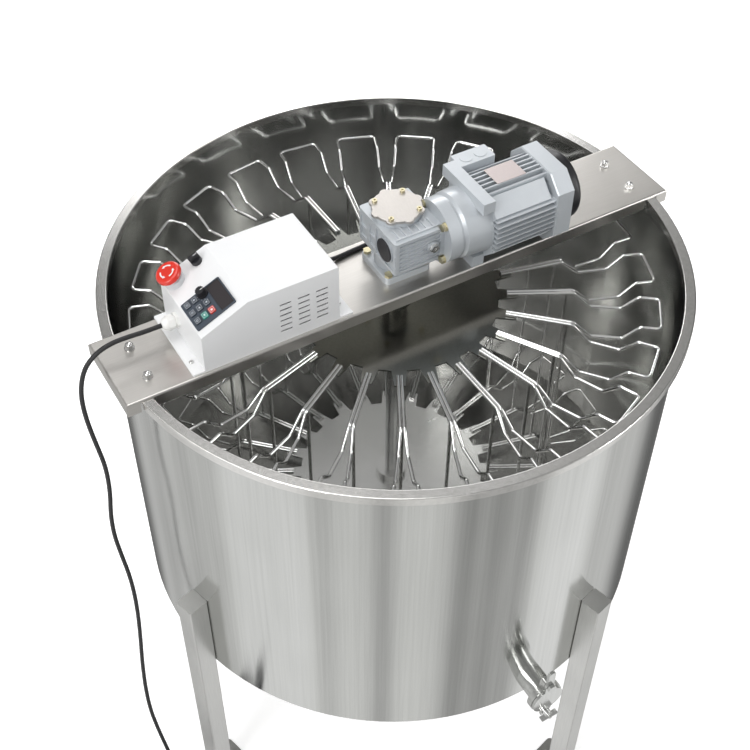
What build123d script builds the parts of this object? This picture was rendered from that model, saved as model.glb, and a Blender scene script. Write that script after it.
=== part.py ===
"""Motor-driven radial honey extractor for 24 hive frames, on four legs.

Frame: origin on the floor under the middle of the drum, +Z up, +X along the crossbar towards
the motor, so the control box stands at the -X end.  Everything is in millimetres.
"""
from build123d import *
from math import atan2, cos, degrees, hypot, pi, radians, sin, tan
import os

os.makedirs("parts", exist_ok=True)

# ---------------------------------------------------------------- driving dimensions
RIM_TOP = 1130.0  # height of the drum's rim above the floor
WALL_OR = 500.0  # drum wall, outside radius
WALL_T = 1.5
RIM_OR = 515.0
RIM_IR = 496.0
RIM_H = 15.0
RIM_T = 1.5
WALL_BOTTOM = 440.0
FLOOR_EDGE_Z = 472.0  # height of the conical floor where it meets the wall
FLOOR_TOP_Z = 527.0  # height of the conical floor round the bottom bearing
FLOOR_HOLE_R = 62.0

LEG_SIZE = 40.0
LEG_T = 2.0
LEG_TOP = 640.0
LEG_COUNT = 4
LEG_ANGLE = 15.0
FOOT_T = 6.0
FOOT_HOLE_R = 5.5
FOOT_HOLE_PCR = 482.0

BAR_L = 1070.0
BAR_W = 160.0
BAR_H = 24.0
BAR_T = 4.0
STUD_X = 480.0
STUD_Y = 37.0
STUD_R = 4.0

SLOTS = 24  # frame slots in the basket
PITCH = 360.0 / SLOTS
BASKET_ANGLE = -6.2  # where the first slot stands when the basket is at rest
SHAFT_R = 12.5
WIRE_R = 3.0
DISC_T = 3.0
UPPER_DISC_TOP = RIM_TOP - 75.0
LOWER_DISC_TOP = RIM_TOP - 564.0
DISC_ROOT_R = 184.0
DISC_TIP_R = 219.0
NOTCH_ROOT_W = 22.0
NOTCH_MOUTH_W = 41.0
LOOP_HALF_W = 38.0
LOOP_END_R = 467.5
LOOP_DIP = 29.0
DIP_START_R = 318.0
DIP_FORK_R = 348.0
DIP_RISE_R = 403.0
DIP_END_R = 431.0
ROD_PCR = 306.0

WORM_Y = -40.0  # centre distance of the worm and its wheel
WORM_Z = RIM_TOP + 82.5
WHEEL_TEETH = 30
MOTOR_R = 74.0

BOX_X0 = -397.0
BOX_X1 = -152.0
BOX_Y0 = -74.0
BOX_Y1 = 82.0
BOX_Z1 = RIM_TOP + 118.0
BOX_SLOPE_Z = RIM_TOP + 79.0  # low edge of the sloping operator panel
BOX_SLOPE_X = -314.0  # where the slope meets the flat top
BOX_T = 1.5

GATE_ANGLE = -90.0
GATE_Z = 498.0
PIPE_OR = 25.4
PIPE_T = 1.5

CORD_R = 4.0

BAR_TOP = RIM_TOP + BAR_T


def ring(plane, outer, inner, length):
    """A plain tube standing on a plane, inside the open part."""
    with BuildSketch(plane) as profile:
        Circle(outer)
        Circle(inner, mode=Mode.SUBTRACT)
    extrude(profile.sketch, amount=length)


def along_x(x, y=WORM_Y, z=WORM_Z):
    """A plane facing +X whose own x runs along +Y and y up."""
    return Plane(origin=(x, y, z), x_dir=(0, 1, 0), z_dir=(1, 0, 0))


# ---------------------------------------------------------------- drum
gate_plane = Plane(
    origin=(0, 0, GATE_Z),
    x_dir=(-sin(radians(GATE_ANGLE)), cos(radians(GATE_ANGLE)), 0),
    z_dir=(cos(radians(GATE_ANGLE)), sin(radians(GATE_ANGLE)), 0),
)

with BuildPart() as drum_wall:
    ring(Plane.XY.offset(WALL_BOTTOM), WALL_OR, WALL_OR - WALL_T, RIM_TOP - RIM_T - WALL_BOTTOM)
    with BuildSketch(gate_plane.offset(WALL_OR - 20)):
        Circle(PIPE_OR)
    extrude(amount=40, mode=Mode.SUBTRACT)
drum_wall.part.label = "drum_wall"
export_step(drum_wall.part, "parts/drum_wall.step")

# The rim is a folded channel that caps the wall.
with BuildPart() as top_rim:
    ring(Plane.XY.offset(RIM_TOP - RIM_H), RIM_OR, RIM_IR, RIM_H)
    fillet(top_rim.edges().group_by(Axis.Z)[-1], 2.0)
    with BuildSketch(Plane.XY.offset(RIM_TOP - RIM_H)):
        Circle(RIM_OR - RIM_T)
        Circle(RIM_IR + RIM_T, mode=Mode.SUBTRACT)
    extrude(amount=RIM_H - RIM_T, mode=Mode.SUBTRACT)
top_rim.part.label = "top_rim"
export_step(top_rim.part, "parts/top_rim.step")

# The floor rises to the middle, so that honey runs out to the wall and the gate.
with BuildPart() as drum_floor:
    with BuildSketch(Plane.XZ):
        with BuildLine():
            Polyline(
                (WALL_OR - WALL_T, FLOOR_EDGE_Z - 28),
                (WALL_OR - WALL_T, FLOOR_EDGE_Z),
                (FLOOR_HOLE_R, FLOOR_TOP_Z),
                (FLOOR_HOLE_R, FLOOR_TOP_Z - 1.5),
                (WALL_OR - 2 * WALL_T, FLOOR_EDGE_Z - 1.7),
                (WALL_OR - 2 * WALL_T, FLOOR_EDGE_Z - 28),
                close=True,
            )
        make_face()
    revolve(axis=Axis.Z)
drum_floor.part.label = "drum_floor"
export_step(drum_floor.part, "parts/drum_floor.step")

BEARING_OR = 26.0
BEARING_Z = FLOOR_TOP_Z + 8.0
BEARING_H = 15.0
SHAFT_BOTTOM = FLOOR_TOP_Z + 4.3

with BuildPart() as bearing_housing:
    with BuildSketch(Plane.XY.offset(FLOOR_TOP_Z)):
        Circle(75)
    extrude(amount=4)
    fillet(bearing_housing.edges().group_by(Axis.Z)[-1], 1.5)
    with BuildSketch(Plane.XY.offset(FLOOR_TOP_Z - 22)):
        Circle(34)
    extrude(amount=BEARING_Z + BEARING_H - FLOOR_TOP_Z + 22)
    with BuildSketch(Plane.XY.offset(BEARING_Z)):
        Circle(BEARING_OR)
    extrude(amount=BEARING_H, mode=Mode.SUBTRACT)
    with BuildSketch(Plane.XY.offset(FLOOR_TOP_Z + 4)):
        Circle(16)
    extrude(amount=BEARING_Z - FLOOR_TOP_Z - 4, mode=Mode.SUBTRACT)
    with BuildSketch(Plane.XY.offset(FLOOR_TOP_Z + 4)):
        with PolarLocations(56, 6):
            RegularPolygon(5, 6)
    extrude(amount=3.5)
bearing_housing.part.label = "bearing_housing"
export_step(bearing_housing.part, "parts/bearing_housing.step")

with BuildPart() as bottom_bearing:
    ring(Plane.XY.offset(BEARING_Z), BEARING_OR, SHAFT_R + 0.03, BEARING_H - 0.5)
bottom_bearing.part.label = "bottom_bearing"
export_step(bottom_bearing.part, "parts/bottom_bearing.step")

# ---------------------------------------------------------------- legs
with BuildPart() as one_leg:
    with BuildSketch(Plane.XY.offset(FOOT_T)):
        with Locations((WALL_OR + LEG_SIZE / 2, 0)):
            RectangleRounded(LEG_SIZE, LEG_SIZE, 3)
    extrude(amount=LEG_TOP - FOOT_T)
    with BuildSketch(Plane.XY.offset(FOOT_T)):
        with Locations((WALL_OR + LEG_SIZE / 2, 0)):
            Rectangle(LEG_SIZE - 2 * LEG_T, LEG_SIZE - 2 * LEG_T)
    extrude(amount=LEG_TOP - FOOT_T - 3, mode=Mode.SUBTRACT)

with BuildPart() as legs:
    with Locations(Rotation(0, 0, LEG_ANGLE)):
        with PolarLocations(0, LEG_COUNT):
            add(one_leg.part)
legs.part.label = "legs"
export_step(legs.part, "parts/legs.step")

with BuildPart() as foot_plates:
    with Locations(Rotation(0, 0, LEG_ANGLE)):
        with PolarLocations(0, LEG_COUNT):
            with Locations((505, 0, FOOT_T / 2)):
                Box(80, 70, FOOT_T)
    fillet(foot_plates.edges().filter_by(Axis.Z), 8)
    with Locations(Rotation(0, 0, LEG_ANGLE)):
        with PolarLocations(FOOT_HOLE_PCR, LEG_COUNT):
            with Locations((0, 0, FOOT_T / 2)):
                Cylinder(FOOT_HOLE_R, FOOT_T + 2, mode=Mode.SUBTRACT)
foot_plates.part.label = "foot_plates"
export_step(foot_plates.part, "parts/foot_plates.step")

# ---------------------------------------------------------------- crossbar and its fixings
with BuildPart() as crossbar:
    with Locations((0, 0, BAR_TOP - BAR_H / 2)):
        Box(BAR_L, BAR_W, BAR_H)
    fillet(crossbar.edges().group_by(Axis.Z)[-1], 4.0)
    with Locations((0, 0, BAR_TOP - BAR_T - (BAR_H - BAR_T) / 2)):
        Box(BAR_L - 2 * BAR_T, BAR_W - 2 * BAR_T, BAR_H - BAR_T, mode=Mode.SUBTRACT)
    # The folded sides are cut away where they cross the rim.
    with BuildSketch(Plane.XY.offset(RIM_TOP - 25)):
        Circle(RIM_OR + 3)
        Circle(RIM_IR - 4, mode=Mode.SUBTRACT)
    extrude(amount=25, mode=Mode.SUBTRACT)
    with BuildSketch(Plane.XY.offset(RIM_TOP - 1)):
        with GridLocations(2 * STUD_X, 2 * STUD_Y, 2, 2):
            Circle(STUD_R + 0.3)
        Circle(26)
        with GridLocations(72, 72, 2, 2):
            Circle(4.3)
    extrude(amount=BAR_T + 2, mode=Mode.SUBTRACT)
crossbar.part.label = "crossbar"
export_step(crossbar.part, "parts/crossbar.step")

# A welded angle inside the drum wall carries the studs at each end of the bar.
BRACKET_Z = RIM_TOP - 18.0
with BuildPart() as bar_brackets:
    with BuildSketch(Plane.XY.offset(BRACKET_Z - 3)):
        Circle(WALL_OR - WALL_T)
        Circle(462, mode=Mode.SUBTRACT)
        Rectangle(1100, 112, mode=Mode.INTERSECT)
    extrude(amount=3)
    with BuildSketch(Plane.XY.offset(BRACKET_Z - 38)):
        Circle(WALL_OR - WALL_T)
        Circle(WALL_OR - WALL_T - 3, mode=Mode.SUBTRACT)
        Rectangle(1100, 112, mode=Mode.INTERSECT)
    extrude(amount=38)
    with BuildSketch(Plane.XY.offset(BRACKET_Z - 3)):
        with GridLocations(2 * STUD_X, 2 * STUD_Y, 2, 2):
            Circle(STUD_R)
    extrude(amount=3, mode=Mode.SUBTRACT)
bar_brackets.part.label = "bar_brackets"
export_step(bar_brackets.part, "parts/bar_brackets.step")

with BuildPart() as bar_studs:
    with BuildSketch(Plane.XY.offset(BRACKET_Z - 10)):
        with GridLocations(2 * STUD_X, 2 * STUD_Y, 2, 2):
            Circle(STUD_R)
    extrude(amount=BAR_TOP + 9 - BRACKET_Z + 10)
bar_studs.part.label = "bar_studs"
export_step(bar_studs.part, "parts/bar_studs.step")

with BuildPart() as one_nut:
    with BuildSketch(Plane.XY.offset(BAR_TOP)):
        Circle(8.5)
    extrude(amount=1.6)
    with BuildSketch(Plane.XY.offset(BAR_TOP + 1.6)):
        RegularPolygon(6.5, 6, major_radius=False)
    extrude(amount=6.5)
    with Locations((0, 0, BAR_TOP + 8.1)):
        Sphere(5.8, arc_size1=0)
    with BuildSketch(Plane.XY.offset(BAR_TOP)):
        Circle(STUD_R)
    extrude(amount=9, mode=Mode.SUBTRACT)

with BuildPart() as acorn_nuts:
    with GridLocations(2 * STUD_X, 2 * STUD_Y, 2, 2):
        add(one_nut.part)
acorn_nuts.part.label = "acorn_nuts"
export_step(acorn_nuts.part, "parts/acorn_nuts.step")

# ---------------------------------------------------------------- worm gearbox
GB_X0 = -47.0
GB_X1 = 50.0
GB_Y0 = -73.5
GB_Y1 = 46.0
GB_Z0 = RIM_TOP + 50.0
GB_Z1 = RIM_TOP + 115.5
BOSS_TOP = RIM_TOP + 125.0
WHEEL_R = 28.0
HUB_R = 16.0
WORM_R = 11.5
WORM_SHAFT_R = 7.5
MOTOR_BOLT_R = 49.0

with BuildPart() as gearbox_housing:
    mid_x = (GB_X0 + GB_X1) / 2
    mid_y = (GB_Y0 + GB_Y1) / 2
    mid_z = (GB_Z0 + GB_Z1) / 2
    with Locations((mid_x, mid_y, mid_z)):
        Box(GB_X1 - GB_X0 - 6, GB_Y1 - GB_Y0 - 7, GB_Z1 - GB_Z0 - 6)
    fillet(gearbox_housing.edges().filter_by(Axis.Z), 3)
    # thick plates at both ends and a frame round the top and bottom
    for plate_x in (GB_X0 + 4.5, GB_X1 - 4.5):
        with Locations((plate_x, mid_y, mid_z)):
            Box(9, GB_Y1 - GB_Y0, GB_Z1 - GB_Z0)
    for frame_z in (GB_Z0 + 2.5, GB_Z1 - 2.5):
        with Locations((mid_x, mid_y, frame_z)):
            Box(GB_X1 - GB_X0, GB_Y1 - GB_Y0, 5)
    fillet(gearbox_housing.edges().filter_by(Axis.Z).group_by(Axis.X)[0], 5)
    # horizontal ribs along the front and the back
    for step in range(6):
        with Locations((mid_x, mid_y, GB_Z0 + 11 + 8.7 * step)):
            Box(GB_X1 - GB_X0 - 2, GB_Y1 - GB_Y0 - 1, 2.6)
    # recesses in the end face, round the worm's cap and behind the wheel
    with BuildSketch(along_x(GB_X0 - 1)):
        with Locations((0, 0)):
            Rectangle(56, 54)
            Circle(23.5, mode=Mode.SUBTRACT)
            Rectangle(2.5, 60, mode=Mode.SUBTRACT)
        with Locations((41, 11), (41, -11)):
            Rectangle(17, 20)
        with Locations((69, 11), (69, -11)):
            Rectangle(20, 20)
    extrude(amount=4, mode=Mode.SUBTRACT)
    # vertical ribs and a deck on top, beside the wheel's boss
    with Locations((mid_x, -52, GB_Z1 + 1.5)):
        with GridLocations(13, 0, 6, 1):
            Box(3, 26, 3)
    with Locations((mid_x, -64, GB_Z1 + 1.5)):
        Box(GB_X1 - GB_X0 - 14, 3, 3)
    # boss for the wheel's cover
    with BuildSketch(Plane.XY.offset(GB_Z1 - 1)):
        Circle(42)
    extrude(amount=BOSS_TOP - GB_Z1 + 1)
    # oil plug boss
    with BuildSketch(Plane(origin=(27, GB_Y0 + 5, WORM_Z), x_dir=(1, 0, 0), z_dir=(0, -1, 0))):
        Circle(11)
    extrude(amount=7.5)
    # round flange towards the motor, with room for its bolt heads
    with BuildSketch(along_x(GB_X1 - 1)):
        Circle(57)
    extrude(amount=13)
    with BuildSketch(along_x(GB_X1 - 11.5)):
        with PolarLocations(MOTOR_BOLT_R, 4, start_angle=45):
            Circle(9.2)
    extrude(amount=10.5, mode=Mode.SUBTRACT)
    with BuildSketch(along_x(GB_X1 - 1)):
        with PolarLocations(MOTOR_BOLT_R, 4, start_angle=45):
            Circle(4)
    extrude(amount=13, mode=Mode.SUBTRACT)
    # wheel chamber, its lower bearing seat and the hole for the output shaft
    with BuildSketch(Plane.XY.offset(GB_Z0 + 17)):
        Circle(36)
    extrude(amount=BOSS_TOP - GB_Z0 - 17, mode=Mode.SUBTRACT)
    with BuildSketch(Plane.XY.offset(GB_Z0 + 7)):
        Circle(26)
    extrude(amount=12, mode=Mode.SUBTRACT)
    with BuildSketch(Plane.XY.offset(GB_Z0)):
        Circle(19)
    extrude(amount=8, mode=Mode.SUBTRACT)
    # worm bore
    with BuildSketch(along_x(GB_X0)):
        Circle(17)
    extrude(amount=GB_X1 + 12 - GB_X0, mode=Mode.SUBTRACT)
gearbox_housing.part.label = "gearbox_housing"
export_step(gearbox_housing.part, "parts/gearbox_housing.step")

COVER_LOBES = 8
with BuildPart() as gearbox_cover:
    with BuildSketch(Plane.XY.offset(BOSS_TOP)):
        Circle(43)
        with PolarLocations(38.5, COVER_LOBES, start_angle=0):
            Circle(9.5)
    extrude(amount=5)
    fillet(gearbox_cover.edges().group_by(Axis.Z)[-1], 1.0)
    ring(Plane.XY.offset(BOSS_TOP - 19), 36, 26, 19)
    with BuildSketch(Plane.XY.offset(BOSS_TOP)):
        with PolarLocations(38.5, 4, start_angle=45):
            Circle(2.7)
    extrude(amount=5, mode=Mode.SUBTRACT)
gearbox_cover.part.label = "gearbox_cover"
export_step(gearbox_cover.part, "parts/gearbox_cover.step")

# Cover screws, and the hexagon bolts that hold the foot flange to the crossbar.
with BuildPart() as gearbox_screws:
    with BuildSketch(Plane.XY.offset(BOSS_TOP)):
        with PolarLocations(38.5, 4, start_angle=45):
            Circle(2.5)
    extrude(amount=5)
    with BuildSketch(Plane.XY.offset(BOSS_TOP + 5)):
        with PolarLocations(38.5, 4, start_angle=45):
            Circle(4.6)
            RegularPolygon(2.3, 6, mode=Mode.SUBTRACT)
    extrude(amount=3.6)
    with BuildSketch(Plane.XY.offset(BAR_TOP + 12)):
        with GridLocations(72, 72, 2, 2):
            RegularPolygon(6.5, 6, major_radius=False)
    extrude(amount=5.5)
    with BuildSketch(Plane.XY.offset(RIM_TOP - 6)):
        with GridLocations(72, 72, 2, 2):
            Circle(4)
    extrude(amount=BAR_TOP + 12 - RIM_TOP + 6)
gearbox_screws.part.label = "gearbox_screws"
export_step(gearbox_screws.part, "parts/gearbox_screws.step")

with BuildPart() as gearbox_flange:
    with BuildSketch(Plane.XY.offset(BAR_TOP)):
        RectangleRounded(90, 90, 10)
    extrude(amount=12)
    fillet(gearbox_flange.edges().group_by(Axis.Z)[-1], 2)
    with BuildSketch(Plane.XY.offset(BAR_TOP + 12)):
        Circle(38)
    extrude(amount=GB_Z0 - BAR_TOP - 12)
    with BuildSketch(Plane.XY.offset(BAR_TOP)):
        Circle(20)
        with GridLocations(72, 72, 2, 2):
            Circle(4.3)
    extrude(amount=GB_Z0 - BAR_TOP, mode=Mode.SUBTRACT)
    with BuildSketch(Plane.XY.offset(BAR_TOP + 12)):
        with GridLocations(72, 72, 2, 2):
            Circle(8.0)
    extrude(amount=12, mode=Mode.SUBTRACT)
gearbox_flange.part.label = "gearbox_flange"
export_step(gearbox_flange.part, "parts/gearbox_flange.step")

with BuildPart() as worm_end_cap:
    with BuildSketch(along_x(GB_X0 - 2.5)):
        Circle(21)
    extrude(amount=2.5)
    fillet(worm_end_cap.edges().group_by(Axis.X)[0], 1.0)
    with BuildSketch(along_x(GB_X0)):
        Circle(17)
    extrude(amount=5)
worm_end_cap.part.label = "worm_end_cap"
export_step(worm_end_cap.part, "parts/worm_end_cap.step")

with BuildPart() as oil_plug:
    with BuildSketch(Plane(origin=(27, GB_Y0 - 2.5, WORM_Z), x_dir=(1, 0, 0), z_dir=(0, -1, 0))):
        Circle(8)
    extrude(amount=1.5)
    with BuildSketch(Plane(origin=(27, GB_Y0 - 4.0, WORM_Z), x_dir=(1, 0, 0), z_dir=(0, -1, 0))):
        RegularPolygon(6.5, 6, major_radius=False)
        Circle(2.5, mode=Mode.SUBTRACT)
    extrude(amount=4)
oil_plug.part.label = "oil_plug"
export_step(oil_plug.part, "parts/oil_plug.step")

with BuildPart() as gearbox_bearings:
    ring(Plane.XY.offset(GB_Z0 + 7.5), 26, HUB_R + 0.03, 9)
    ring(Plane.XY.offset(BOSS_TOP - 18.5), 26, HUB_R + 0.03, 9)
    ring(along_x(-40), 17, WORM_SHAFT_R + 0.03, 10)
    ring(along_x(40), 17, WORM_SHAFT_R + 0.03, 10)
gearbox_bearings.part.label = "gearbox_bearings"
export_step(gearbox_bearings.part, "parts/gearbox_bearings.step")

OUTPUT_R = 9.0
with BuildPart() as worm_wheel:
    with BuildSketch(Plane.XY.offset(GB_Z0 + 2)):
        Circle(HUB_R)
    extrude(amount=BOSS_TOP - 5 - GB_Z0 - 2)
    with BuildSketch(Plane.XY.offset(WORM_Z - 10)):
        Circle(WHEEL_R)
        with PolarLocations(WHEEL_R, WHEEL_TEETH):
            Rectangle(4, 2.4, mode=Mode.SUBTRACT)
    extrude(amount=20)
    with BuildSketch(Plane.XY.offset(GB_Z0 + 2)):
        Circle(OUTPUT_R)
    extrude(amount=BOSS_TOP - 5 - GB_Z0 - 2, mode=Mode.SUBTRACT)
worm_wheel.part.label = "worm_wheel"
export_step(worm_wheel.part, "parts/worm_wheel.step")

# ---------------------------------------------------------------- motor
SHIELD_X0 = GB_X1 + 12.0
HOUSING_X0 = 130.0
HOUSING_X1 = 250.0
REAR_X1 = 283.0
COWL_X1 = 315.0
FAN_X0 = 270.0

with BuildPart() as worm_shaft:
    with BuildSketch(along_x(-41)):
        Circle(WORM_SHAFT_R)
    extrude(amount=FAN_X0 + 22 + 41)
    with BuildSketch(along_x(-24)):
        Circle(WORM_R)
    extrude(amount=48)
    for step in range(-3, 4):
        with BuildSketch(along_x(6.2 * step - 1.2)):
            Circle(WORM_R + 1)
            Circle(WORM_R - 2, mode=Mode.SUBTRACT)
        extrude(amount=2.4, mode=Mode.SUBTRACT)
    with BuildSketch(along_x(145)):
        Circle(42)
    extrude(amount=90)
worm_shaft.part.label = "worm_shaft"
export_step(worm_shaft.part, "parts/worm_shaft.step")

with BuildPart() as motor_front_shield:
    with BuildSketch(Plane(origin=(0, WORM_Y, WORM_Z), x_dir=(1, 0, 0), z_dir=(0, -1, 0))):
        with BuildLine():
            Polyline(
                (SHIELD_X0, 24),
                (SHIELD_X0, 57),
                (SHIELD_X0 + 10, 57),
                (SHIELD_X0 + 12, 54.5),
                (SHIELD_X0 + 15, 54.5),
                (SHIELD_X0 + 20, 59),
                (HOUSING_X0 - 6, 62),
                (HOUSING_X0, 62),
                (HOUSING_X0, 50),
                (SHIELD_X0 + 12, 46),
                (SHIELD_X0 + 12, 24),
                close=True,
            )
        make_face()
    revolve(axis=Axis(origin=(0, WORM_Y, WORM_Z), direction=(1, 0, 0)))
    # square ledge along the top and the foot under the shield
    with Locations((HOUSING_X0 - 11.5, WORM_Y + 5, WORM_Z + 61.5)):
        Box(23, 126, 22)
    with Locations((HOUSING_X0 - 11.5, WORM_Y, (BAR_TOP + WORM_Z - 56) / 2)):
        Box(23, 76, WORM_Z - 56 - BAR_TOP)
    with BuildSketch(along_x(SHIELD_X0)):
        with PolarLocations(MOTOR_BOLT_R, 4, start_angle=45):
            Circle(4)
    extrude(amount=14, mode=Mode.SUBTRACT)
motor_front_shield.part.label = "motor_front_shield"
export_step(motor_front_shield.part, "parts/motor_front_shield.step")

# The heads bear on a washer against the gearbox's flange; the shanks end in the motor's.
with BuildPart() as motor_bolts:
    with BuildSketch(along_x(GB_X1 - 1)):
        with PolarLocations(MOTOR_BOLT_R, 4, start_angle=45):
            Circle(4)
    extrude(amount=27)
    with BuildSketch(along_x(GB_X1 - 2.6)):
        with PolarLocations(MOTOR_BOLT_R, 4, start_angle=45):
            Circle(8)
    extrude(amount=1.6)
    with BuildSketch(along_x(GB_X1 - 8.1)):
        with PolarLocations(MOTOR_BOLT_R, 4, start_angle=45):
            RegularPolygon(6.5, 6, major_radius=False)
    extrude(amount=5.5)
motor_bolts.part.label = "motor_bolts"
export_step(motor_bolts.part, "parts/motor_bolts.step")

TB_X1 = 199.0
TB_Y0 = WORM_Y + 46.0
TB_Y1 = WORM_Y + 81.0
TB_Z0 = WORM_Z - 18.0
TB_Z1 = WORM_Z + 72.5
FIN_T = 3.0
FIN_STEP = 10.5

with BuildPart() as motor_housing:
    with BuildSketch(along_x(HOUSING_X0)):
        Circle(57)
        for step in range(-3, 4):
            with Locations((FIN_STEP * step, 0)):
                Rectangle(FIN_T, 2 * MOTOR_R)
            with Locations((0, FIN_STEP * step)):
                Rectangle(2 * MOTOR_R, FIN_T)
        Rectangle(2 * MOTOR_R - 6, 2 * MOTOR_R - 6, mode=Mode.INTERSECT)
        Circle(MOTOR_R, mode=Mode.INTERSECT)
    extrude(amount=HOUSING_X1 - HOUSING_X0)
    # smooth pads at the four corners
    with BuildSketch(along_x(HOUSING_X0)):
        with PolarLocations(62, 4, start_angle=45):
            Rectangle(18, 38)
    extrude(amount=HOUSING_X1 - HOUSING_X0 - 8)
    with BuildSketch(along_x(HOUSING_X0)):
        Circle(50)
    extrude(amount=HOUSING_X1 - HOUSING_X0, mode=Mode.SUBTRACT)
    # seat of the terminal box
    with Locations(((HOUSING_X0 + TB_X1) / 2, (TB_Y0 + TB_Y1 + 20) / 2, (TB_Z0 + TB_Z1) / 2)):
        Box(TB_X1 - HOUSING_X0, TB_Y1 + 20 - TB_Y0, TB_Z1 - TB_Z0, mode=Mode.SUBTRACT)
motor_housing.part.label = "motor_housing"
export_step(motor_housing.part, "parts/motor_housing.step")

with BuildPart() as terminal_box:
    with Locations(((HOUSING_X0 + TB_X1) / 2, (TB_Y0 + TB_Y1) / 2, (TB_Z0 + TB_Z1) / 2)):
        Box(TB_X1 - HOUSING_X0, TB_Y1 - TB_Y0, TB_Z1 - TB_Z0)
    fillet(terminal_box.edges().filter_by(Axis.Z), 2)
    with Locations(((HOUSING_X0 + TB_X1) / 2, (TB_Y0 + TB_Y1) / 2 + 1.5, (TB_Z0 + TB_Z1) / 2)):
        Box(TB_X1 - HOUSING_X0 - 6, TB_Y1 - TB_Y0 - 6, TB_Z1 - TB_Z0 - 6, mode=Mode.SUBTRACT)
    # two blanked cable entries stand proud of the top
    with BuildSketch(Plane.XY.offset(TB_Z1 - 1)):
        with Locations((HOUSING_X0 + 20, (TB_Y0 + TB_Y1) / 2), (HOUSING_X0 + 49, (TB_Y0 + TB_Y1) / 2)):
            Circle(11)
    extrude(amount=2)
terminal_box.part.label = "terminal_box"
export_step(terminal_box.part, "parts/terminal_box.step")

PLATE_Z = WORM_Z + MOTOR_R - 3
with BuildPart() as motor_nameplate:
    with Locations((187, WORM_Y, PLATE_Z + 0.5)):
        Box(58, 43, 1.0)
    fillet(motor_nameplate.edges().filter_by(Axis.Z), 2)
motor_nameplate.part.label = "motor_nameplate"
export_step(motor_nameplate.part, "parts/motor_nameplate.step")

SHIELD_HALF = 72.0
SHIELD_CORNER = 28.0
with BuildPart() as motor_rear_shield:
    with BuildSketch(along_x(HOUSING_X1)):
        Rectangle(2 * SHIELD_HALF, 2 * SHIELD_HALF)
        chamfer(vertices(), SHIELD_CORNER)
    extrude(amount=REAR_X1 - HOUSING_X1)
    chamfer(motor_rear_shield.edges().group_by(Axis.X)[0], 2)
    with BuildSketch(along_x(HOUSING_X1 + 8)):
        Circle(62)
    extrude(amount=REAR_X1 - HOUSING_X1 - 8, mode=Mode.SUBTRACT)
    with BuildSketch(along_x(HOUSING_X1)):
        Circle(WORM_SHAFT_R + 1.5)
    extrude(amount=8, mode=Mode.SUBTRACT)
motor_rear_shield.part.label = "motor_rear_shield"
export_step(motor_rear_shield.part, "parts/motor_rear_shield.step")

with BuildPart() as fan_cowl:
    with BuildSketch(along_x(REAR_X1)):
        Circle(62)
    extrude(amount=COWL_X1 - REAR_X1)
    fillet(fan_cowl.edges().group_by(Axis.X)[-1], 12)
    with BuildSketch(along_x(REAR_X1)):
        Circle(59)
    extrude(amount=COWL_X1 - REAR_X1 - 14, mode=Mode.SUBTRACT)
    with BuildSketch(along_x(REAR_X1)):
        Circle(48)
    extrude(amount=COWL_X1 - REAR_X1 - 3, mode=Mode.SUBTRACT)
    # rings of air slots in the end face
    for ring_r in (14, 24, 34, 43):
        with BuildSketch(along_x(COWL_X1 - 4)):
            Circle(ring_r + 2.2)
            Circle(ring_r - 2.2, mode=Mode.SUBTRACT)
            Rectangle(6, 120, mode=Mode.SUBTRACT)
            Rectangle(120, 6, mode=Mode.SUBTRACT)
        extrude(amount=6, mode=Mode.SUBTRACT)
fan_cowl.part.label = "fan_cowl"
export_step(fan_cowl.part, "parts/fan_cowl.step")

with BuildPart() as motor_fan:
    ring(along_x(FAN_X0), 17, WORM_SHAFT_R, 22)
    with BuildSketch(along_x(FAN_X0)):
        Circle(17)
        with PolarLocations(33, 7):
            Rectangle(36, 3)
        Circle(WORM_SHAFT_R, mode=Mode.SUBTRACT)
    extrude(amount=20)
motor_fan.part.label = "motor_fan"
export_step(motor_fan.part, "parts/motor_fan.step")

# ---------------------------------------------------------------- basket
with BuildPart() as main_shaft:
    with BuildSketch(Plane.XY.offset(SHAFT_BOTTOM)):
        Circle(SHAFT_R)
    extrude(amount=RIM_TOP - 30 - SHAFT_BOTTOM)
    with BuildSketch(Plane.XY.offset(RIM_TOP - 30)):
        Circle(OUTPUT_R)
    extrude(amount=BOSS_TOP - 8 - RIM_TOP + 30)
main_shaft.part.label = "main_shaft"
export_step(main_shaft.part, "parts/main_shaft.step")

with BuildPart() as shaft_coupling:
    ring(Plane.XY.offset(UPPER_DISC_TOP + 8), 22, SHAFT_R, RIM_TOP - 30 - UPPER_DISC_TOP - 8)
    ring(Plane.XY.offset(RIM_TOP - 30), 22, OUTPUT_R, 22)
    for height in (RIM_TOP - 50, RIM_TOP - 20):
        with BuildSketch(Plane(origin=(20, 0, height), x_dir=(0, 1, 0), z_dir=(1, 0, 0))):
            RegularPolygon(5, 6)
        extrude(amount=6)
shaft_coupling.part.label = "shaft_coupling"
export_step(shaft_coupling.part, "parts/shaft_coupling.step")


def hub_disc(top):
    """A toothed disc with one notch at every frame slot and a hub welded round the shaft."""
    with BuildSketch(Plane.XY.offset(top - DISC_T)) as profile:
        Circle(DISC_TIP_R)
        with Locations(Rotation(0, 0, BASKET_ANGLE)):
            with PolarLocations(0, SLOTS):
                Polygon(
                    (DISC_ROOT_R, -NOTCH_ROOT_W / 2),
                    (DISC_TIP_R + 4, -NOTCH_MOUTH_W / 2),
                    (DISC_TIP_R + 4, NOTCH_MOUTH_W / 2),
                    (DISC_ROOT_R, NOTCH_ROOT_W / 2),
                    align=None,
                    mode=Mode.SUBTRACT,
                )
        Circle(SHAFT_R, mode=Mode.SUBTRACT)
    extrude(profile.sketch, amount=DISC_T)


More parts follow.
